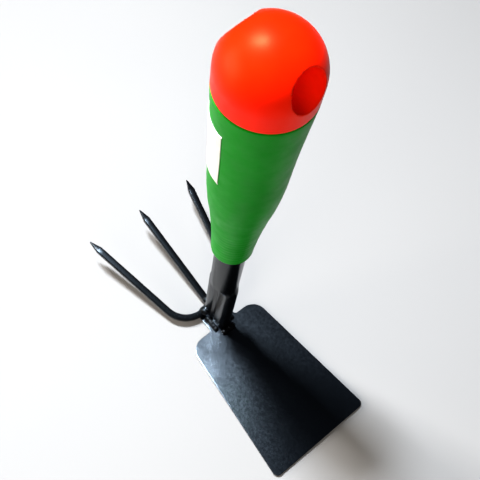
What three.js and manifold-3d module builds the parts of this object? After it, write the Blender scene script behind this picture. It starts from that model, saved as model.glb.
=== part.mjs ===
// Hand weeder: a hoe blade and a three-tine fork on one short steel shank,
// with a plastic grip and end cap. Millimetres, +Z up.
// It stands on the flat underside of the blade, +X towards the blade's cutting edge.
import * as THREE from 'three';
import { mergeVertices } from 'three/addons/utils/BufferGeometryUtils.js';
import Module from 'manifold-3d';

const wasm = await Module();
wasm.setup();

// ---------- driving dimensions ----------
const GAP = 0.3;                 // clearance between pieces that touch
const LEAN = 5 * Math.PI / 180;  // handle leans towards the blade

const BLADE = {
  thick: 2, reach: 96.4, edgeHalf: 33.6, cornerR: 3,
  heelX: 6, shoulderX: 15.5, shoulderHalf: 26, shoulderR: 9.5,
  neckHalf: 9.2, neckBack: -10.4, neckR: 5, neckFillet: 2,
};
const TUBE = {
  radius: 7.9, wall: 1.2, top: 231,
  pressTop: 58, pressBlend: 7, pressHalf: 4.5, grooveDepth: 0.9, grooveHalf: 1.5,
};
const GRIP = { bottom: 110, ring: 234.6, ringR: 17.45, lip: 1.2, boreR: TUBE.radius + GAP };
const CAP = {
  height: 25.2, band: 8, holeUp: 14.1, holeR: 4.6, holeStraight: 3, holeReach: 19.5,
  backMouthR: 8.9, frontMouthR: 6.8, frontMouthX: 13, turn: 4.2 * Math.PI / 180,
  tilt: 2.2 * Math.PI / 180, spigotR: 13.7, spigotLength: 14,
};
const FORK = {
  bar: 4, edgeR: 0.5, rootX: -6.3, rootZ: 4.85, rise: 13.7 * Math.PI / 180,
  length: 75.4, bendR: 16.5, straightHalf: 7.4, splay: 12.1 * Math.PI / 180,
  point: 7.5, pointTip: 0.7,
};
const LABEL = { low: 190.7, high: 222, from: -210, to: -88, thick: 0.25 };
const WELD = { beadR: 1.9, lumps: 5 };
const SMOOTH = 48;               // facets round the grip and the cap

const forkTipX = FORK.rootX - FORK.length * Math.cos(FORK.rise);
const HANDLE_X = -(BLADE.reach + forkTipX) / 2;   // centres the footprint on the origin

// ---------- materials ----------
const paint = new THREE.MeshStandardMaterial({ color: 0x15161a, roughness: 0.42, metalness: 0.3 });
const weldPaint = new THREE.MeshStandardMaterial({ color: 0x1b1b1e, roughness: 0.5, metalness: 0.3 });
const green = new THREE.MeshStandardMaterial({ color: 0x1f9a35, roughness: 0.5, metalness: 0 });
const red = new THREE.MeshStandardMaterial({ color: 0xf52205, roughness: 0.35, metalness: 0 });
const paper = new THREE.MeshStandardMaterial({ color: 0xf7f7f2, roughness: 0.6, metalness: 0 });

// ---------- helpers ----------
function solid(geometry) {
  const g = geometry.clone();
  g.deleteAttribute('normal');
  g.deleteAttribute('uv');
  const merged = mergeVertices(g, 1e-4);
  return new wasm.Manifold(new wasm.Mesh({
    numProp: 3,
    vertProperties: new Float32Array(merged.attributes.position.array),
    triVerts: new Uint32Array(merged.index.array),
  }));
}

function geometryOf(manifold) {
  const mesh = manifold.getMesh();
  const g = new THREE.BufferGeometry();
  g.setAttribute('position', new THREE.BufferAttribute(new Float32Array(mesh.vertProperties), 3));
  g.setIndex(new THREE.BufferAttribute(new Uint32Array(mesh.triVerts), 1));
  g.computeVertexNormals();
  return g;
}

function node(name, geometry, material, parent) {
  const mesh = new THREE.Mesh(geometry, material);
  mesh.name = name;
  parent.add(mesh);
  return mesh;
}

// turned shape about Z from [radius, height] points
function turned(points, segments) {
  const profile = points.map(([r, z]) => new THREE.Vector2(r, z));
  return new THREE.LatheGeometry(profile, segments).rotateX(Math.PI / 2);
}

function moveVertices(geometry, change) {
  const p = geometry.attributes.position;
  const v = new THREE.Vector3();
  for (let i = 0; i < p.count; i++) {
    v.fromBufferAttribute(p, i);
    change(v);
    p.setXYZ(i, v.x, v.y, v.z);
  }
  return geometry;
}

// ---------- grip ----------
// outside radius of the grip at a height between its bottom and the cap ring
const gripCurve = new THREE.SplineCurve([
  [0, 10.1], [0.06, 10.35], [0.18, 11.2], [0.33, 12.95], [0.43, 14.5],
  [0.56, 15.6], [0.77, 16.1], [1, GRIP.ringR],
].map(([t, r]) => new THREE.Vector2(t, r)));

function gripRadius(z) {
  const t = (z - GRIP.bottom) / (GRIP.ring - GRIP.bottom);
  let low = 0;
  let high = 1;
  for (let i = 0; i < 30; i++) {
    const mid = (low + high) / 2;
    if (gripCurve.getPoint(mid).x < t) low = mid;
    else high = mid;
  }
  return gripCurve.getPoint(low).y;
}

function makeGrip() {
  const steps = 15;
  const outside = [];
  for (let i = 0; i <= steps; i++) {
    const z = GRIP.bottom + GRIP.lip + (GRIP.ring - GRIP.bottom - GRIP.lip) * i / steps;
    outside.push([gripRadius(z), z]);
  }
  const lipR = gripRadius(GRIP.bottom);
  const cavityR = CAP.spigotR + GAP;
  const inside = [
    [cavityR, GRIP.ring], [cavityR, 205], [12.2, 176], [GRIP.boreR, 150],
    [GRIP.boreR, GRIP.bottom],
  ];
  const lip = [[lipR - GRIP.lip, GRIP.bottom], [lipR - 0.35 * GRIP.lip, GRIP.bottom + 0.35 * GRIP.lip]];
  return turned([...lip, ...outside, ...inside, lip[0]], SMOOTH);
}

// ---------- end cap ----------
// straight band under a round dome, with a spigot inside the grip
function makeCap() {
  const foot = GRIP.ring + GAP;
  const dome = [[GRIP.ringR, foot]];
  const steps = 10;
  for (let i = 0; i < steps; i++) {
    const a = Math.PI / 2 * i / steps;
    const up = CAP.band + (CAP.height - CAP.band) * Math.sin(a);
    dome.push([GRIP.ringR * Math.cos(a), GRIP.ring + up]);
  }
  const socketR = TUBE.radius + GAP;
  const socketTop = TUBE.top + GAP;
  const spigotFoot = GRIP.ring - CAP.spigotLength;
  const profile = [
    [0, socketTop], [socketR, socketTop], [socketR, spigotFoot], [CAP.spigotR - 1, spigotFoot],
    [CAP.spigotR, spigotFoot + 1], [CAP.spigotR, foot], ...dome, [0, GRIP.ring + CAP.height],
  ];
  return geometryOf(solid(turned(profile, SMOOTH)).subtract(solid(hangingHole())));
}

// cross hole, narrow in the middle, widening to both mouths and dipping to the front one
function hangingHole() {
  const profile = [
    [0, -CAP.holeReach], [CAP.backMouthR, -CAP.holeReach], [CAP.holeR, -CAP.holeStraight],
    [CAP.holeR, CAP.holeStraight], [CAP.frontMouthR, CAP.frontMouthX],
    [CAP.frontMouthR, CAP.holeReach], [0, CAP.holeReach],
  ];
  return turned(profile, 40)
    .rotateY(Math.PI / 2 + CAP.tilt)
    .rotateZ(CAP.turn)
    .translate(0, 0, GRIP.ring + CAP.holeUp);
}

// ---------- label ----------
function makeLabel() {
  const steps = 5;
  const inner = [];
  for (let i = 0; i <= steps; i++) {
    const z = LABEL.low + (LABEL.high - LABEL.low) * i / steps;
    inner.push([gripRadius(z) + GAP, z]);
  }
  const outer = inner.map(([r, z]) => [r + LABEL.thick, z]);
  const shell = turned([...outer, ...inner.reverse(), outer[0]], SMOOTH);
  const wedge = new THREE.Shape();
  const span = LABEL.to - LABEL.from;
  wedge.moveTo(0, 0);
  for (let i = 0; i <= 4; i++) {
    const a = THREE.MathUtils.degToRad(LABEL.from + span * i / 4);
    wedge.lineTo(40 * Math.cos(a), 40 * Math.sin(a));
  }
  const prism = new THREE.ExtrudeGeometry(wedge, { depth: 60, bevelEnabled: false });
  prism.translate(0, 0, LABEL.low - 10);
  return geometryOf(solid(shell).intersect(solid(prism)));
}

// ---------- shank ----------
// A round tube whose lower end is pressed flat on both sides, keeping its girth.
// Point of a pressed section: arc length around the wall, from the middle of the front end.
function pressedPoint(angle, halfThick, halfFlat) {
  const quarter = Math.abs(Math.asin(Math.sin(angle)));
  const arc = (halfThick * Math.PI / 2 + halfFlat) * quarter / (Math.PI / 2);
  const endArc = halfThick * Math.PI / 2;
  const round = Math.min(arc, endArc) / halfThick;
  const along = Math.max(arc - endArc, 0);
  const x = halfFlat - along + halfThick * Math.cos(round);
  let y = halfThick * Math.sin(round);
  const groove = 1 - (halfFlat - along) / TUBE.grooveHalf;
  if (arc > endArc && groove > 0) y -= TUBE.grooveDepth * groove;
  return [Math.sign(Math.cos(angle)) * x, Math.sign(Math.sin(angle)) * y];
}

function makeTube() {
  const inner = TUBE.radius - TUBE.wall;
  const blendTop = TUBE.pressTop + TUBE.pressBlend;
  const levels = [0, 20, 40, TUBE.pressTop, TUBE.pressTop + 2, TUBE.pressTop + 4.5, blendTop, TUBE.top];
  const outside = levels.map((z) => [TUBE.radius, z]);
  const inside = levels.map((z) => [inner, z]).reverse();
  const wall = turned([...outside, ...inside, outside[0]], 64);
  const halfFlat = (TUBE.radius - TUBE.pressHalf) * Math.PI / 2;
  return moveVertices(wall, (v) => {
    const radius = Math.hypot(v.x, v.y);
    const thick = TUBE.pressHalf - (TUBE.radius - radius);
    const press = 1 - THREE.MathUtils.smoothstep(v.z, TUBE.pressTop, blendTop);
    if (press > 0) {
      const [x, y] = pressedPoint(Math.atan2(v.y, v.x), thick, halfFlat);
      v.x += press * (x - v.x);
      v.y += press * (y - v.y);
    }
    // the foot is cut level with the blade
    if (v.z < 1) v.z = (GAP + v.x * Math.sin(LEAN)) / Math.cos(LEAN);
  });
}

// ---------- blade ----------
function roundedOutline(corners) {
  const shape = new THREE.Shape();
  const count = corners.length;
  corners.forEach(([x, y, r], i) => {
    const here = new THREE.Vector2(x, y);
    const back = new THREE.Vector2(...corners[(i + count - 1) % count]).sub(here);
    const next = new THREE.Vector2(...corners[(i + 1) % count]).sub(here);
    const half = Math.abs(back.angleTo(next)) / 2;
    const cut = r / Math.tan(half);
    const start = here.clone().add(back.normalize().multiplyScalar(cut));
    const end = here.clone().add(next.normalize().multiplyScalar(cut));
    if (i === 0) shape.moveTo(start.x, start.y);
    else shape.lineTo(start.x, start.y);
    const middle = back.add(next).normalize().multiplyScalar(r / Math.sin(half)).add(here);
    const from = Math.atan2(start.y - middle.y, start.x - middle.x);
    const to = Math.atan2(end.y - middle.y, end.x - middle.x);
    const turn = Math.atan2(Math.sin(to - from), Math.cos(to - from));
    shape.absarc(middle.x, middle.y, r, from, to, turn < 0);
  });
  return shape;
}

function makeBlade() {
  const slope = (BLADE.edgeHalf - BLADE.shoulderHalf) / (BLADE.reach - BLADE.shoulderX);
  const heelHalf = BLADE.shoulderHalf - slope * (BLADE.shoulderX - BLADE.heelX);
  const side = [
    [BLADE.neckBack, BLADE.neckHalf, BLADE.neckR],
    [BLADE.heelX, BLADE.neckHalf, BLADE.neckFillet],
    [BLADE.heelX, heelHalf, BLADE.shoulderR],
    [BLADE.reach, BLADE.edgeHalf, BLADE.cornerR],
  ];
  const mirrored = side.map(([x, y, r]) => [x, -y, r]);
  const outline = roundedOutline([...mirrored, ...side.reverse()]);
  return new THREE.ExtrudeGeometry(outline, {
    depth: BLADE.thick, bevelEnabled: false, curveSegments: 10,
  });
}

// ---------- fork ----------
function barSection() {
  const h = FORK.bar / 2;
  const r = FORK.edgeR;
  return roundedOutline([[-h, -h, r], [h, -h, r], [h, h, r], [-h, h, r]]);
}

// four-sided point, from the bar's end along a direction in the fork's plane
function makePoint(x, y, heading) {
  const root2 = Math.SQRT2;
  const overlap = 0.6;
  const point = new THREE.CylinderGeometry(
    FORK.pointTip / root2, (FORK.bar - 0.15) / root2, FORK.point + overlap, 4,
  );
  return point
    .rotateY(Math.PI / 4)
    .translate(0, (FORK.point - overlap) / 2, 0)
    .rotateZ(heading - Math.PI / 2)
    .translate(x, y, 0);
}

function makeOuterTine(side) {
  const path = new THREE.CurvePath();
  const startY = TUBE.pressHalf + 0.5;
  const turn = Math.PI / 2 - FORK.splay;
  const bendEnd = new THREE.Vector2(
    FORK.bendR * (Math.cos(turn) - 1), FORK.straightHalf + FORK.bendR * Math.sin(turn),
  );
  const heading = new THREE.Vector2(-Math.cos(FORK.splay), Math.sin(FORK.splay));
  const straight = (FORK.length + bendEnd.x) / Math.cos(FORK.splay) - FORK.point;
  const pointRoot = bendEnd.clone().addScaledVector(heading, straight);
  const at = (x, y) => new THREE.Vector3(x, side * y, 0);
  path.add(new THREE.LineCurve3(at(0, startY), at(0, FORK.straightHalf)));
  const bendSteps = 12;
  let last = at(0, FORK.straightHalf);
  for (let i = 1; i <= bendSteps; i++) {
    const a = turn * i / bendSteps;
    const next = at(
      FORK.bendR * (Math.cos(a) - 1), FORK.straightHalf + FORK.bendR * Math.sin(a),
    );
    path.add(new THREE.LineCurve3(last, next));
    last = next;
  }
  path.add(new THREE.LineCurve3(last, at(pointRoot.x, pointRoot.y)));
  const bar = new THREE.ExtrudeGeometry(barSection(), {
    steps: 30, curveSegments: 1, extrudePath: path,
  });
  const angle = Math.atan2(side * heading.y, heading.x);
  return geometryOf(solid(bar).add(solid(makePoint(pointRoot.x, side * pointRoot.y, angle))));
}

function makeMiddleTine() {
  const start = 3.9;
  const length = FORK.length - FORK.point - start;
  const bar = new THREE.ExtrudeGeometry(barSection(), {
    depth: length, bevelEnabled: false, curveSegments: 2,
  });
  bar.rotateY(-Math.PI / 2).translate(-start, 0, 0);
  const tip = makePoint(-start - length, 0, Math.PI);
  return geometryOf(solid(bar).add(solid(tip)));
}

// ---------- welds ----------
// a row of overlapping lumps from one point to another
function bead(from, to, lumps, radius) {
  const a = new THREE.Vector3(...from);
  const b = new THREE.Vector3(...to);
  let row = null;
  for (let i = 0; i < lumps; i++) {
    const swell = 1 + 0.12 * Math.cos(2.6 * i);
    const lump = new THREE.SphereGeometry(radius * swell, 10, 8);
    lump.rotateZ(i).translate(...a.clone().lerp(b, i / (lumps - 1)).toArray());
    row = row ? row.add(solid(lump)) : solid(lump);
  }
  return row;
}

// keep-out shape around the pressed foot of the shank
function footKeepOut() {
  const r = TUBE.pressHalf + GAP;
  const half = (TUBE.radius - TUBE.pressHalf) * Math.PI / 2;
  const shape = new THREE.Shape();
  shape.absarc(half, 0, r, -Math.PI / 2, Math.PI / 2, false);
  shape.absarc(-half, 0, r, Math.PI / 2, 1.5 * Math.PI, false);
  const block = new THREE.ExtrudeGeometry(shape, { depth: 40, bevelEnabled: false, curveSegments: 10 });
  return solid(block.translate(0, 0, -12).rotateY(LEAN).translate(0, 0, BLADE.thick));
}

function slab(low, high) {
  const size = high.map((value, i) => value - low[i]);
  const middle = high.map((value, i) => (value + low[i]) / 2);
  return solid(new THREE.BoxGeometry(...size).translate(...middle));
}

// seam between the foot and the blade's neck, on one side or across the front
function makeFootWeld(from, to, lumps) {
  const underside = slab([-60, -60, -20], [60, 60, BLADE.thick + GAP]);
  const row = bead(from, to, lumps, WELD.beadR);
  return geometryOf(row.subtract(footKeepOut()).subtract(underside));
}

// lump over the end of a fork bar, against the shank
function makeBarWeld(middle, size) {
  const lump = new THREE.SphereGeometry(1, 16, 12);
  lump.scale(...size).translate(...middle);
  const under = new THREE.BoxGeometry(80, 80, 20);
  under.translate(0, 0, -10 + FORK.bar / 2 + GAP).rotateY(FORK.rise);
  under.translate(FORK.rootX, 0, FORK.rootZ);
  return geometryOf(solid(lump).subtract(footKeepOut()).subtract(solid(under)));
}

// ---------- assembly ----------
const tool = new THREE.Group();
tool.position.set(HANDLE_X, 0, 0);

const handle = new THREE.Group();
handle.position.set(0, 0, BLADE.thick);
handle.rotation.y = LEAN;
tool.add(handle);
node('end_cap', makeCap(), red, handle);
node('grip_sleeve', makeGrip(), green, handle);
node('grip_label', makeLabel(), paper, handle);
node('shank_tube', makeTube(), paint, handle);

node('hoe_blade', makeBlade(), paint, tool);

const fork = new THREE.Group();
fork.position.set(FORK.rootX, 0, FORK.rootZ);
fork.rotation.y = FORK.rise;
tool.add(fork);
node('tine_left', makeOuterTine(-1), paint, fork);
node('tine_middle', makeMiddleTine(), paint, fork);
node('tine_right', makeOuterTine(1), paint, fork);

const seatZ = BLADE.thick + 1.1;
const seamY = TUBE.pressHalf + 1.6;
for (const [name, side] of [['left', -1], ['right', 1]]) {
  const seam = makeFootWeld([-1.2, side * seamY, seatZ], [6.6, side * seamY, seatZ], WELD.lumps);
  node(`weld_foot_${name}`, seam, weldPaint, tool);
  const lump = makeBarWeld([-5.4, side * 5.4, 7.3], [3.2, 2.6, 2.3]);
  node(`weld_tine_${name}`, lump, weldPaint, tool);
}
const frontX = 11.3;
node('weld_foot_front', makeFootWeld([frontX, -3, seatZ], [frontX, 3, seatZ], 4), weldPaint, tool);
node('weld_tine_middle', makeBarWeld([-10.6, 0, 7.9], [2.6, 2.9, 2.3]), weldPaint, tool);

export default new THREE.Group().add(tool);
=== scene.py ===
"""Hand weeder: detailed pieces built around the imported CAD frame.

Helpers work in millimetres in a local frame, and place() turns them into metres in the
row frame. The handle leans towards the blade, and the fork rises from the shank's foot.
"""

import math

import bmesh
import bpy
from mathutils import Matrix, Vector, noise


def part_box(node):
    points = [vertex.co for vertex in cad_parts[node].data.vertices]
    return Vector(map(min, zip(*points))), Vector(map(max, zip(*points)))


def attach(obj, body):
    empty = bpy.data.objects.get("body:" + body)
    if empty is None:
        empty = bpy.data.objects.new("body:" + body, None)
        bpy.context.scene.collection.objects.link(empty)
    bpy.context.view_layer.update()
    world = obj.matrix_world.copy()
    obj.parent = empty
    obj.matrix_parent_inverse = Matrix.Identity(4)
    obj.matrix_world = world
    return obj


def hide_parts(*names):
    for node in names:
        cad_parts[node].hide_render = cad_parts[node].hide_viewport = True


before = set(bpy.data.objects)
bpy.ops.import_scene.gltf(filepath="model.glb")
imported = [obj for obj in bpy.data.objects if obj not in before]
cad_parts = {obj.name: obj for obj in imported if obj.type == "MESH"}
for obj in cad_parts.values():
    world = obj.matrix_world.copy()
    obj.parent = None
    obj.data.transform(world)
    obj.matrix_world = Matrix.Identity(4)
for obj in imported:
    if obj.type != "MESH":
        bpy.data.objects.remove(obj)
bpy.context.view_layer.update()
MM = 0.001

# ---------- driving dimensions, in mm ----------
GAP = 0.3
LEAN = math.radians(5)
BLADE = dict(thick=2.0, reach=96.4, edge_half=33.6, corner_r=3.0, heel_x=6.0,
             shoulder_x=15.5, shoulder_half=26.0, shoulder_r=9.5, neck_half=9.2,
             neck_back=-10.4, neck_r=5.0, neck_fillet=2.0, edge_round=0.22)
TUBE = dict(radius=7.9, wall=1.2, top=231.0, press_top=58.0, blend=7.0, half=4.5,
            groove=0.9, groove_half=1.5)
GRIP = dict(bottom=110.0, ring=234.6, ring_r=17.45, lip=2.2, bore_top=150.0,
            taper_z=176.0, taper_r=12.2, cavity_foot=205.0, ring_pitch=3.1,
            ring_depth=0.055, ring_sink=0.05)
CAP = dict(height=25.2, band=8.0, hole_up=14.1, hole_r=4.6, hole_straight=3.0,
           hole_reach=19.5, back_mouth_r=8.9, front_mouth_r=6.8, front_mouth_x=13.0,
           turn=math.radians(4.2), tilt=math.radians(2.2), spigot_r=13.7, spigot=14.0,
           top_clearance=0.06, voxel=0.34)
FORK = dict(bar=4.0, edge_r=0.55, root_x=-6.3, root_z=4.85, rise=math.radians(13.7),
            length=75.4, bend_r=16.5, straight=7.4, splay=math.radians(12.1),
            point=7.5, tip=0.7, belly=0.03, middle_start=3.9)
WELD_VOXEL = 0.22
LABEL = dict(low=190.7, high=222.0, start=-210.0, end=-88.0, thick=0.25, corner=1.2)
GRIP_CURVE = [(0, 10.1), (0.06, 10.35), (0.18, 11.2), (0.33, 12.95), (0.43, 14.5),
              (0.56, 15.6), (0.77, 16.1), (1, 17.45)]

# ---------- placing ----------
HANDLE_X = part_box("hoe_blade")[1].x / MM - BLADE["reach"]
ROW = Matrix.Scale(MM, 4)
TOOL = ROW @ Matrix.Translation((HANDLE_X, 0, 0))
HANDLE = TOOL @ Matrix.Translation((0, 0, BLADE["thick"])) @ Matrix.Rotation(LEAN, 4, "Y")
FORK_AT = (TOOL @ Matrix.Translation((FORK["root_x"], 0, FORK["root_z"]))
           @ Matrix.Rotation(FORK["rise"], 4, "Y"))


def place(name, bm, at, material, node, smooth=30):
    """Turns a mesh in mm into a finished piece that stands for a CAD node."""
    bmesh.ops.recalc_face_normals(bm, faces=bm.faces)
    mesh = bpy.data.meshes.new(name)
    bm.to_mesh(mesh)
    bm.free()
    mesh.transform(at)
    mesh.shade_smooth()
    mesh.set_sharp_from_angle(angle=math.radians(smooth))
    mesh.materials.append(material)
    piece = bpy.data.objects.new(name, mesh)
    bpy.context.scene.collection.objects.link(piece)
    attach(piece, "root")
    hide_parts(node)
    return piece


def loft(rings, closed=False):
    """A skin over rings of points; the first and last are capped unless closed."""
    bm = bmesh.new()
    rows = [[bm.verts.new(p) for p in ring] for ring in rings]
    count = len(rows[0])
    pairs = list(zip(rows, rows[1:] + rows[:1])) if closed else list(zip(rows, rows[1:]))
    for low, high in pairs:
        for i in range(count):
            j = (i + 1) % count
            bm.faces.new((low[i], low[j], high[j], high[i]))
    if not closed:
        bm.faces.new(rows[0])
        bm.faces.new(rows[-1])
    return bm


def turned(profile, segments=144):
    """A closed (radius, height) profile turned about Z."""
    rings = []
    for r, z in profile:
        ring = []
        for i in range(segments):
            a = 2 * math.pi * i / segments
            ring.append((r * math.cos(a), r * math.sin(a), z))
        rings.append(ring)
    bm = loft(rings, closed=True)
    bmesh.ops.remove_doubles(bm, verts=bm.verts, dist=1e-4)
    return bm


def smoothstep(t):
    t = min(max(t, 0.0), 1.0)
    return t * t * (3 - 2 * t)


def arc(cx, cy, r, start, end, steps):
    """Points on an arc, angles in degrees."""
    out = []
    for i in range(steps + 1):
        a = math.radians(start + (end - start) * i / steps)
        out.append((cx + r * math.cos(a), cy + r * math.sin(a)))
    return out


# ---------- materials ----------
class Nodes:
    """A Principled material and short calls for the nodes around it."""

    def __init__(self, name):
        self.material = bpy.data.materials.new(name)
        self.material.use_nodes = True
        self.tree = self.material.node_tree
        self.shader = self.tree.nodes["Principled BSDF"]
        self.place = self.tree.nodes.new("ShaderNodeTexCoord").outputs["Object"]

    def set(self, **values):
        for key, value in values.items():
            self.shader.inputs[key.replace("_", " ")].default_value = value

    def link(self, a, b):
        self.tree.links.new(a, b)

    def noise(self, scale, detail=3.0, rough=0.5, stretch=None):
        n = self.tree.nodes.new("ShaderNodeTexNoise")
        n.inputs["Scale"].default_value = scale
        n.inputs["Detail"].default_value = detail
        n.inputs["Roughness"].default_value = rough
        self.link(self.stretched(stretch), n.inputs["Vector"])
        return n.outputs["Fac"]

    def stretched(self, stretch):
        if stretch is None:
            return self.place
        n = self.tree.nodes.new("ShaderNodeMapping")
        n.inputs["Scale"].default_value = stretch
        self.link(self.place, n.inputs["Vector"])
        return n.outputs["Vector"]

    def ramp(self, fac, stops):
        n = self.tree.nodes.new("ShaderNodeValToRGB")
        ramp = n.color_ramp
        while len(ramp.elements) < len(stops):
            ramp.elements.new(0.5)
        for element, (at, value) in zip(ramp.elements, stops):
            element.position = at
            element.color = value if len(value) == 4 else (*value, 1)
        self.link(fac, n.inputs["Fac"])
        return n.outputs["Color"]

    def spread(self, fac, low, high, start=0.3, end=0.7):
        """Maps a texture's middle range to low..high."""
        n = self.tree.nodes.new("ShaderNodeMapRange")
        for key, value in zip(("From Min", "From Max", "To Min", "To Max"),
                              (start, end, low, high)):
            n.inputs[key].default_value = value
        self.link(fac, n.inputs["Value"])
        return n.outputs["Result"]

    def mix(self, fac, a, b):
        n = self.tree.nodes.new("ShaderNodeMix")
        n.data_type = "RGBA"
        self.link(fac, n.inputs["Factor"])
        for key, value in ((6, a), (7, b)):
            if hasattr(value, "links"):
                self.link(value, n.inputs[key])
            else:
                n.inputs[key].default_value = (*value, 1)
        return n.outputs[2]

    def colour(self, socket):
        self.link(socket, self.shader.inputs["Base Color"])

    def roughness(self, socket):
        self.link(socket, self.shader.inputs["Roughness"])

    def bump(self, *layers):
        """Stacks (texture, depth in mm) layers into the normal."""
        normal = None
        for texture, depth in layers:
            n = self.tree.nodes.new("ShaderNodeBump")
            n.inputs["Distance"].default_value = depth * MM
            self.link(texture, n.inputs["Height"])
            if normal:
                self.link(normal, n.inputs["Normal"])
            normal = n.outputs["Normal"]
        self.link(normal, self.shader.inputs["Normal"])

    def pointiness(self):
        return self.tree.nodes.new("ShaderNodeNewGeometry").outputs["Pointiness"]


def cap_plastic():
    m = Nodes("cap_plastic")
    m.set(IOR=1.35, Specular_IOR_Level=0.30, Specular_Tint=(1.0, 0.45, 0.16, 1))
    cloud = m.noise(55, 3)
    m.colour(m.ramp(cloud, [(0.3, (0.95, 0.013, 0.0006)), (0.7, (0.99, 0.020, 0.001))]))
    m.roughness(m.spread(m.noise(160, 4), 0.36, 0.42))
    m.bump((m.noise(1800, 2), 0.010), (m.noise(90, 2), 0.03))
    return m.material


def grip_plastic():
    m = Nodes("grip_plastic")
    m.set(IOR=1.35, Specular_IOR_Level=0.25, Specular_Tint=(0.62, 1.0, 0.50, 1))
    cloud = m.noise(40, 4)
    m.colour(m.ramp(cloud, [(0.3, (0.005, 0.215, 0.010)), (0.7, (0.008, 0.275, 0.015))]))
    m.roughness(m.spread(m.noise(200, 4), 0.40, 0.52))
    m.bump((m.noise(2200, 2), 0.012), (m.noise(60, 2, stretch=(1, 1, 4)), 0.05))
    return m.material


def label_paper():
    m = Nodes("label_paper")
    m.set(IOR=1.45)
    fibres = m.noise(900, 4, stretch=(1, 1, 0.4))
    m.colour(m.ramp(fibres, [(0.3, (0.68, 0.67, 0.62)), (0.7, (0.76, 0.75, 0.70))]))
    m.roughness(m.spread(fibres, 0.45, 0.6))
    m.bump((fibres, 0.02), (m.noise(120, 2), 0.06))
    return m.material


def black_paint(name, base, rough, grain, depth, wear=0.0, gloss=0.4, speckle=0.008):
    """Black powder coat: cloudy black, speckled gloss, fine orange peel, rubbed edges."""
    m = Nodes(name)
    m.set(IOR=1.5, Specular_IOR_Level=gloss, Specular_Tint=(0.76, 0.89, 1.0, 1))
    cloud = m.noise(60, 4)
    dark = tuple(c * 0.8 for c in base)
    m_colour = m.mix(m.spread(cloud, 0, 1), dark, base)
    if wear:
        rubbed = m.spread(m.pointiness(), 0.0, wear, 0.53, 0.62)
        m_colour = m.mix(rubbed, m_colour, (0.03, 0.03, 0.034))
    m.colour(m_colour)
    m.roughness(m.spread(m.noise(grain * 1.15, 2), rough - speckle, rough + speckle))
    m.bump((m.noise(grain, 3), depth), (m.noise(grain * 0.4, 2), depth))
    return m.material


# ---------- grip ----------
def spline(points, t):
    """Catmull-Rom through (fraction, radius) points, at a fraction."""
    k = 0
    while k < len(points) - 2 and points[k + 1][0] < t:
        k += 1
    p0, p1 = points[max(k - 1, 0)], points[k]
    p2, p3 = points[k + 1], points[min(k + 2, len(points) - 1)]
    low, high = 0.0, 1.0

    def at(u, axis):
        a, b, c, d = p0[axis], p1[axis], p2[axis], p3[axis]
        v0, v1 = (c - a) * 0.5, (d - b) * 0.5
        return ((2 * b - 2 * c + v0 + v1) * u ** 3
                + (-3 * b + 3 * c - 2 * v0 - v1) * u * u + v0 * u + b)

    for _ in range(30):
        mid = (low + high) / 2
        if at(mid, 0) < t:
            low = mid
        else:
            high = mid
    return at(low, 1)


def grip_radius(z):
    t = (z - GRIP["bottom"]) / (GRIP["ring"] - GRIP["bottom"])
    return spline(GRIP_CURVE, min(max(t, 0.0), 1.0))


def make_grip():
    """Sleeve with a rounded lower lip and faint moulding rings above it."""
    bottom, ring, lip = GRIP["bottom"], GRIP["ring"], GRIP["lip"]
    bore = TUBE["radius"] + GAP
    cavity = CAP["spigot_r"] + GAP
    foot_r = grip_radius(bottom + lip)
    profile = [(bore, bottom + 0.6)] + arc(bore + 0.5, bottom + 0.5, 0.5, 180, 270, 3)
    profile += arc(foot_r - lip, bottom + lip, lip, 280, 360, 7)[:-1]
    steps = 150
    for i in range(steps + 1):
        z = bottom + lip + (ring - 0.5 - bottom - lip) * i / steps
        fade = smoothstep((z - bottom - 3) / 4) * (1 - smoothstep((z - bottom - 26) / 16))
        ripple = GRIP["ring_depth"] * fade * math.sin(z * 2 * math.pi / GRIP["ring_pitch"])
        profile.append((grip_radius(z) + ripple - GRIP["ring_sink"] * fade, z))
    profile += arc(grip_radius(ring) - 0.5, ring - 0.5, 0.5, 0, 90, 4)[1:]
    profile += [(cavity, ring), (cavity, GRIP["cavity_foot"]),
                (GRIP["taper_r"], GRIP["taper_z"]), (bore, GRIP["bore_top"])]
    return place("grip_moulded", turned(profile, 160), HANDLE, grip_plastic(),
                 "grip_sleeve")


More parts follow.
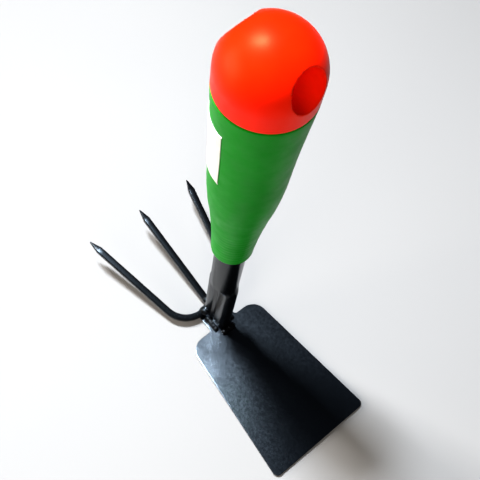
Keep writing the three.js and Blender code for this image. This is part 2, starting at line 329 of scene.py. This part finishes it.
# ---------- end cap ----------
def make_cap():
    """Domed cap with its spigot, socket and cross hole; the remesh softens the mouths."""
    ring, r = GRIP["ring"], GRIP["ring_r"]
    foot, dome_up = ring + GAP, CAP["height"] - CAP["band"] - CAP["top_clearance"]
    socket, top = TUBE["radius"] + GAP, TUBE["top"] + GAP
    spigot_foot = ring - CAP["spigot"]
    profile = [(0, top), (socket, top), (socket, spigot_foot),
               (CAP["spigot_r"] - 1, spigot_foot), (CAP["spigot_r"], spigot_foot + 1),
               (CAP["spigot_r"], foot)]
    profile += arc(r - 0.4, foot + 0.4, 0.4, 270, 360, 3)
    steps = 44
    for i in range(steps + 1):
        a = math.pi / 2 * i / steps
        profile.append((r * math.cos(a), ring + CAP["band"] + dome_up * math.sin(a)))
    body = turned(profile, 128)
    bmesh.ops.recalc_face_normals(body, faces=body.faces)
    cap = bpy.data.objects.new("cap_body", bpy.data.meshes.new("cap_body"))
    body.to_mesh(cap.data)
    body.free()

    reach, straight = CAP["hole_reach"], CAP["hole_straight"]
    hole = turned([(0, -reach), (CAP["back_mouth_r"], -reach), (CAP["hole_r"], -straight),
                   (CAP["hole_r"], straight), (CAP["front_mouth_r"], CAP["front_mouth_x"]),
                   (CAP["front_mouth_r"], reach), (0, reach)], 96)
    bmesh.ops.recalc_face_normals(hole, faces=hole.faces)
    cutter = bpy.data.objects.new("cap_hole", bpy.data.meshes.new("cap_hole"))
    hole.to_mesh(cutter.data)
    hole.free()
    cutter.data.transform(Matrix.Translation((0, 0, ring + CAP["hole_up"]))
                          @ Matrix.Rotation(CAP["turn"], 4, "Z")
                          @ Matrix.Rotation(math.pi / 2 + CAP["tilt"], 4, "Y"))
    scene = bpy.context.scene
    for piece in (cap, cutter):
        scene.collection.objects.link(piece)
    cut = cap.modifiers.new("cut", "BOOLEAN")
    cut.object, cut.operation, cut.solver = cutter, "DIFFERENCE", "EXACT"
    remesh = cap.modifiers.new("remesh", "REMESH")
    remesh.mode, remesh.voxel_size = "VOXEL", CAP["voxel"]
    soft = cap.modifiers.new("soft", "SMOOTH")
    soft.factor, soft.iterations = 0.5, 6
    graph = bpy.context.evaluated_depsgraph_get()
    done = bpy.data.meshes.new_from_object(cap.evaluated_get(graph))
    for piece in (cap, cutter):
        bpy.data.objects.remove(piece)
    bm = bmesh.new()
    bm.from_mesh(done)
    return place("cap_moulded", bm, HANDLE, cap_plastic(), "end_cap", 60)


# ---------- label ----------
def make_label():
    """Paper label with rounded corners, wrapped on the grip."""
    across, up = 90, 30
    low, high = LABEL["low"], LABEL["high"]
    bm = bmesh.new()
    layers = []
    for lift in (0.0, LABEL["thick"]):
        grid = []
        for j in range(up + 1):
            row = []
            for i in range(across + 1):
                u, v = i / across, j / up
                z = low + (high - low) * v
                a = math.radians(LABEL["start"] + (LABEL["end"] - LABEL["start"]) * u)
                radius = grip_radius(z) + GAP * 0.2 + lift
                a, z = round_corner(a, z, radius)
                row.append(bm.verts.new((radius * math.cos(a), radius * math.sin(a), z)))
            grid.append(row)
        layers.append(grid)
    for grid in layers:
        for j in range(up):
            for i in range(across):
                bm.faces.new((grid[j][i], grid[j][i + 1], grid[j + 1][i + 1], grid[j + 1][i]))
    inner, outer = layers
    rim = [(j, 0) for j in range(up)] + [(up, i) for i in range(across)]
    rim += [(j, across) for j in range(up, 0, -1)] + [(0, i) for i in range(across, 0, -1)]
    for (j, i), (n, k) in zip(rim, rim[1:] + rim[:1]):
        bm.faces.new((inner[j][i], inner[n][k], outer[n][k], outer[j][i]))
    return place("label_printed", bm, HANDLE, label_paper(), "grip_label")


def round_corner(angle, z, radius):
    """Pulls a point near a corner of the label onto its corner arc."""
    mid_a = math.radians((LABEL["start"] + LABEL["end"]) / 2)
    mid_z = (LABEL["low"] + LABEL["high"]) / 2
    half_a = math.radians(LABEL["end"] - LABEL["start"]) / 2
    half_z = (LABEL["high"] - LABEL["low"]) / 2
    r = LABEL["corner"]
    dx = (abs(angle - mid_a) - half_a) * radius + r
    dz = abs(z - mid_z) - half_z + r
    if dx > 0 and dz > 0:
        pull = max(dx, dz) / math.hypot(dx, dz)
        new_dx, new_dz = dx * pull, dz * pull
        angle += math.copysign((new_dx - dx) / radius, angle - mid_a)
        z += math.copysign(new_dz - dz, z - mid_z)
    return angle, z


# ---------- shank ----------
def pressed_ring(thick, half_flat, count):
    """One wall line of the pressed section, from the middle of the front end."""
    ring = []
    quarter_arc = thick * math.pi / 2 + half_flat
    end_arc = thick * math.pi / 2
    for i in range(count):
        a = 2 * math.pi * i / count
        quarter = abs(math.asin(max(-1.0, min(1.0, math.sin(a)))))
        s = quarter_arc * quarter / (math.pi / 2)
        bend = min(s, end_arc) / thick
        along = max(s - end_arc, 0)
        x = half_flat - along + thick * math.cos(bend)
        y = thick * math.sin(bend)
        if s > end_arc:
            dip = 1 - math.hypot((half_flat - along) / TUBE["groove_half"], 0.12)
            y -= TUBE["groove"] * max(dip, 0)
        ring.append((math.copysign(x, math.cos(a)), math.copysign(y, math.sin(a))))
    return ring


def make_tube():
    """Round tube, pressed flat on both sides below the crease, cut level at the foot."""
    count = 192
    half_flat = (TUBE["radius"] - TUBE["half"]) * math.pi / 2
    press_top, blend = TUBE["press_top"], TUBE["blend"]
    lows = [i * press_top / 30 for i in range(31)]
    blends = [press_top + blend * i / 14 for i in range(1, 15)]
    highs = [press_top + blend + (TUBE["top"] - press_top - blend) * i / 24
             for i in range(1, 25)]
    levels = lows + blends + highs
    rings = []
    for inset in (0.0, TUBE["wall"]):
        flat = pressed_ring(TUBE["half"] - inset, half_flat, count)
        walls = []
        for z in levels:
            press = 1 - smoothstep((z - press_top) / blend)
            ring = []
            for i, (x, y) in enumerate(flat):
                a = 2 * math.pi * i / count
                rx = (TUBE["radius"] - inset) * math.cos(a)
                ry = (TUBE["radius"] - inset) * math.sin(a)
                px, py = rx + press * (x - rx), ry + press * (y - ry)
                pz = z if z > 1 else (GAP + px * math.sin(LEAN)) / math.cos(LEAN)
                ring.append((px, py, pz))
            walls.append(ring)
        rings += walls if inset == 0 else walls[::-1]
    return place("shank_pressed", loft(rings, closed=True), HANDLE,
                 black_paint("tube_paint", (0.0015, 0.0015, 0.002), 0.24, 900, 0.002, gloss=0.2),
                 "shank_tube", 28)


# ---------- blade ----------
def filleted(corners, steps=14):
    """A closed outline with each (x, y, radius) corner rounded by an arc."""
    out = []
    count = len(corners)
    for i, (x, y, r) in enumerate(corners):
        here = Vector((x, y))
        back = (Vector(corners[i - 1][:2]) - here).normalized()
        ahead = (Vector(corners[(i + 1) % count][:2]) - here).normalized()
        half = back.angle(ahead) / 2
        start, end = here + back * (r / math.tan(half)), here + ahead * (r / math.tan(half))
        middle = here + (back + ahead).normalized() * (r / math.sin(half))
        a0, a1 = (start - middle), (end - middle)
        first = math.atan2(a0.y, a0.x)
        turn = math.atan2(a0.x * a1.y - a0.y * a1.x, a0.dot(a1))
        for k in range(steps + 1):
            a = first + turn * k / steps
            out.append((middle.x + r * math.cos(a), middle.y + r * math.sin(a)))
    return out


def inset_outline(points, by):
    """The outline moved inwards by a distance, along its corner normals."""
    count = len(points)
    out = []
    for i in range(count):
        a, b, c = (Vector(points[i - 1]), Vector(points[i]), Vector(points[(i + 1) % count]))
        t0, t1 = (b - a).normalized(), (c - b).normalized()
        n = Vector((-t0.y - t1.y, t0.x + t1.x)).normalized()
        out.append(tuple(b + n * by))
    return out


def make_blade():
    """Flat blade with its edges rounded over by the powder coat."""
    b = BLADE
    slope = (b["edge_half"] - b["shoulder_half"]) / (b["reach"] - b["shoulder_x"])
    heel_half = b["shoulder_half"] - slope * (b["shoulder_x"] - b["heel_x"])
    side = [(b["neck_back"], b["neck_half"], b["neck_r"]),
            (b["heel_x"], b["neck_half"], b["neck_fillet"]),
            (b["heel_x"], heel_half, b["shoulder_r"]),
            (b["reach"], b["edge_half"], b["corner_r"])]
    outline = filleted([(x, -y, r) for x, y, r in side] + side[::-1])
    r, steps = b["edge_round"], 5
    rings = [(2 * r, 0.0)]
    for i in range(steps + 1):
        a = math.pi / 2 * i / steps
        rings.append((r * (1 - math.sin(a)), r * (1 - math.cos(a))))
    for i in range(steps + 1):
        a = math.pi / 2 * i / steps
        rings.append((r * (1 - math.cos(a)), b["thick"] - r * (1 - math.sin(a))))
    rings.append((2 * r, b["thick"]))
    loops = [[(x, y, z) for x, y in inset_outline(outline, by)] for by, z in rings]
    return place("blade_coated", loft(loops), TOOL,
                 black_paint("blade_paint", (0.0006, 0.0009, 0.0020), 0.17, 650, 0.0120,
                             gloss=1.0, speckle=0.018),
                 "hoe_blade", 40)


# ---------- fork ----------
def bar_ring(width, height, corner):
    """A square section with rounded corners, as (side, up) offsets."""
    w, h = width / 2, height / 2
    return filleted([(-w, -h, corner), (w, -h, corner), (w, h, corner), (-w, h, corner)], 4)


def sweep(path, sizes, corner):
    """Square bar along a path in the fork's plane; sizes gives each section's width."""
    rings = []
    for k, point in enumerate(path):
        a = path[max(k - 1, 0)]
        b = path[min(k + 1, len(path) - 1)]
        ahead = Vector((b[0] - a[0], b[1] - a[1])).normalized()
        side = Vector((-ahead.y, ahead.x))
        size = sizes[k]
        soft = min(corner, size * 0.3)
        rings.append([(point[0] + side.x * s, point[1] + side.y * s, up)
                      for s, up in bar_ring(size, size, soft)])
    return loft(rings)


def bar_path(straight_start, y_side):
    """Centre line of an outer tine, from the shank's flat side to its tip."""
    f = FORK
    turn = math.pi / 2 - f["splay"]
    points = [(0, straight_start + (f["straight"] - straight_start) * i / 3) for i in range(3)]
    for i in range(19):
        a = turn * i / 18
        points.append((f["bend_r"] * (math.cos(a) - 1), f["straight"] + f["bend_r"] * math.sin(a)))
    bend_x, bend_y = points[-1]
    run = (f["length"] + bend_x) / math.cos(f["splay"])
    heading = (-math.cos(f["splay"]), math.sin(f["splay"]))
    return [(x, y * y_side) for x, y in points], run, heading


def along_bar(points, run, heading, side):
    """Adds the straight stretch and the point; returns path and section sizes."""
    f = FORK
    sizes = [f["bar"]] * len(points)
    x0, y0 = points[-1]
    straight = run - f["point"]
    steps = 16
    for i in range(1, steps + 1):
        d = straight * i / steps
        points.append((x0 + heading[0] * d, y0 + side * heading[1] * d))
        sizes.append(f["bar"])
    taper = 9
    for i in range(1, taper + 1):
        t = i / taper
        d = straight + f["point"] * t
        points.append((x0 + heading[0] * d, y0 + side * heading[1] * d))
        belly = f["belly"] * math.sin(math.pi * t)
        sizes.append(f["bar"] + (f["tip"] - f["bar"]) * t + belly)
    return points, sizes


def forged(bm, seed):
    """Small hammered unevenness, kept inside the bar's own size."""
    for v in bm.verts:
        n = noise.noise(Vector((v.co.x * 0.16, v.co.y * 0.16, v.co.z * 0.25 + seed)))
        squeeze = 1 - 0.035 * max(n, 0)
        v.co.z *= squeeze
    return bm


def make_tines():
    paint = black_paint("fork_paint", (0.0015, 0.0015, 0.002), 0.27, 900, 0.004, wear=0.1,
                        gloss=0.22)
    for name, side in (("left", -1), ("right", 1)):
        points, run, heading = bar_path(TUBE["half"] + 0.5, side)
        path, sizes = along_bar(points, run, heading, side)
        bm = forged(sweep(path, sizes, FORK["edge_r"]), side)
        place(f"tine_{name}_forged", bm, FORK_AT, paint, f"tine_{name}", 35)
    start = FORK["middle_start"]
    points, sizes = along_bar([(-start, 0)], FORK["length"] - start, (-1, 0), 1)
    bm = forged(sweep(points, sizes, FORK["edge_r"]), 3)
    place("tine_middle_forged", bm, FORK_AT, paint, "tine_middle", 35)


# ---------- welds ----------
def make_welds():
    """Each weld is remeshed from its CAD lump and given a lumpy, rippled skin."""
    paint = black_paint("weld_paint", (0.003, 0.0025, 0.0025), 0.34, 800, 0.008, wear=0.1,
                        gloss=0.25)
    names = [n for n in sorted(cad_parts) if n.startswith("weld_")]
    for k, name in enumerate(names):
        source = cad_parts[name]
        low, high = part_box(name)
        work = bpy.data.objects.new(name + "_work", source.data.copy())
        bpy.context.scene.collection.objects.link(work)
        remesh = work.modifiers.new("remesh", "REMESH")
        remesh.mode, remesh.voxel_size = "VOXEL", WELD_VOXEL * MM
        soft = work.modifiers.new("soft", "SMOOTH")
        soft.factor, soft.iterations = 0.5, 4
        graph = bpy.context.evaluated_depsgraph_get()
        bm = bmesh.new()
        bm.from_mesh(bpy.data.meshes.new_from_object(work.evaluated_get(graph)))
        bpy.data.objects.remove(work)
        bm.normal_update()
        for v in bm.verts:
            coarse = noise.noise(v.co / MM * 0.9 + Vector((k * 7, 0, 0)))
            fine = noise.noise(v.co / MM * 2.6 + Vector((0, k * 5, 0)))
            v.co += v.normal * (0.12 * coarse + 0.06 * fine - 0.10) * MM
            v.co = Vector(min(max(c, a), b) for c, a, b in zip(v.co, low, high))
        place(name + "_bead", bm, Matrix.Identity(4), paint, name, 60)


# ---------- stage, light and camera ----------
def make_floor():
    bm = bmesh.new()
    bmesh.ops.create_grid(bm, x_segments=1, y_segments=1, size=4.0)
    mesh = bpy.data.meshes.new("floor")
    bm.to_mesh(mesh)
    bm.free()
    floor = bpy.data.objects.new("floor", mesh)
    floor.location.z = -0.0002
    bpy.context.scene.collection.objects.link(floor)
    m = Nodes("floor_matt")
    m.colour(m.ramp(m.noise(3, 2), [(0.3, (0.322, 0.311, 0.299)), (0.7, (0.338, 0.327, 0.315))]))
    m.set(Roughness=0.7, Specular_IOR_Level=0.25)
    floor.data.materials.append(m.material)


def area_light(name, at, aim, size, watts, colour, shines=True):
    """A rectangular lamp; shines=False keeps it out of the glossy reflections."""
    data = bpy.data.lights.new(name, "AREA")
    data.shape = "RECTANGLE"
    data.size, data.size_y = size
    data.energy, data.color = watts, colour
    light = bpy.data.objects.new(name, data)
    light.location = at
    light.visible_glossy = shines
    light.rotation_mode = "QUATERNION"
    light.rotation_quaternion = (Vector(aim) - Vector(at)).to_track_quat("-Z", "Y")
    bpy.context.scene.collection.objects.link(light)


def make_lights():
    world = bpy.data.worlds.new("studio")
    world.use_nodes = True
    back = world.node_tree.nodes["Background"]
    back.inputs["Color"].default_value = (0.80, 0.88, 1.0, 1)
    back.inputs["Strength"].default_value = 0.05
    bpy.context.scene.world = world
    bpy.context.scene.view_settings.view_transform = "Standard"
    bpy.context.scene.view_settings.look = "Medium High Contrast"
    area_light("key", (-0.50, -0.13, 1.05), (0.02, 0, 0.1), (0.09, 0.09), 8.0,
               (0.97, 0.98, 1.0))
    area_light("skylight", (-0.24, -0.02, 0.88), (0.01, -0.02, 0), (0.09, 0.09), 13.0,
               (0.82, 0.90, 1.0))
    area_light("window", (-0.95, -1.15, 0.55), (0, 0, 0.1), (1.1, 0.8), 20,
               (1.0, 0.93, 0.85))
    area_light("fill", (0.75, -1.05, 0.9), (0, 0, 0.15), (1.2, 1.2), 12,
               (1.0, 0.93, 0.85), shines=False)


def make_camera():
    """Pinhole camera above the blade side, looking down past the cap."""
    right = Vector((0.6287, 0.7766, 0.0403)).normalized()
    ahead = Vector((-0.3356, 0.3177, -0.8868)).normalized()
    up = right.cross(ahead).normalized()
    right = ahead.cross(up)
    data = bpy.data.cameras.new("camera")
    data.sensor_width, data.lens = 36.0, 51.0
    data.clip_start = 0.01
    camera = bpy.data.objects.new("camera", data)
    turn = Matrix((right, up, -ahead)).transposed().to_4x4()
    camera.matrix_world = Matrix.Translation((0.1091, -0.0974, 0.3974)) @ turn
    bpy.context.scene.collection.objects.link(camera)
    bpy.context.scene.camera = camera


make_cap()
make_grip()
make_label()
make_tube()
make_blade()
make_tines()
make_welds()
make_floor()
make_lights()
make_camera()
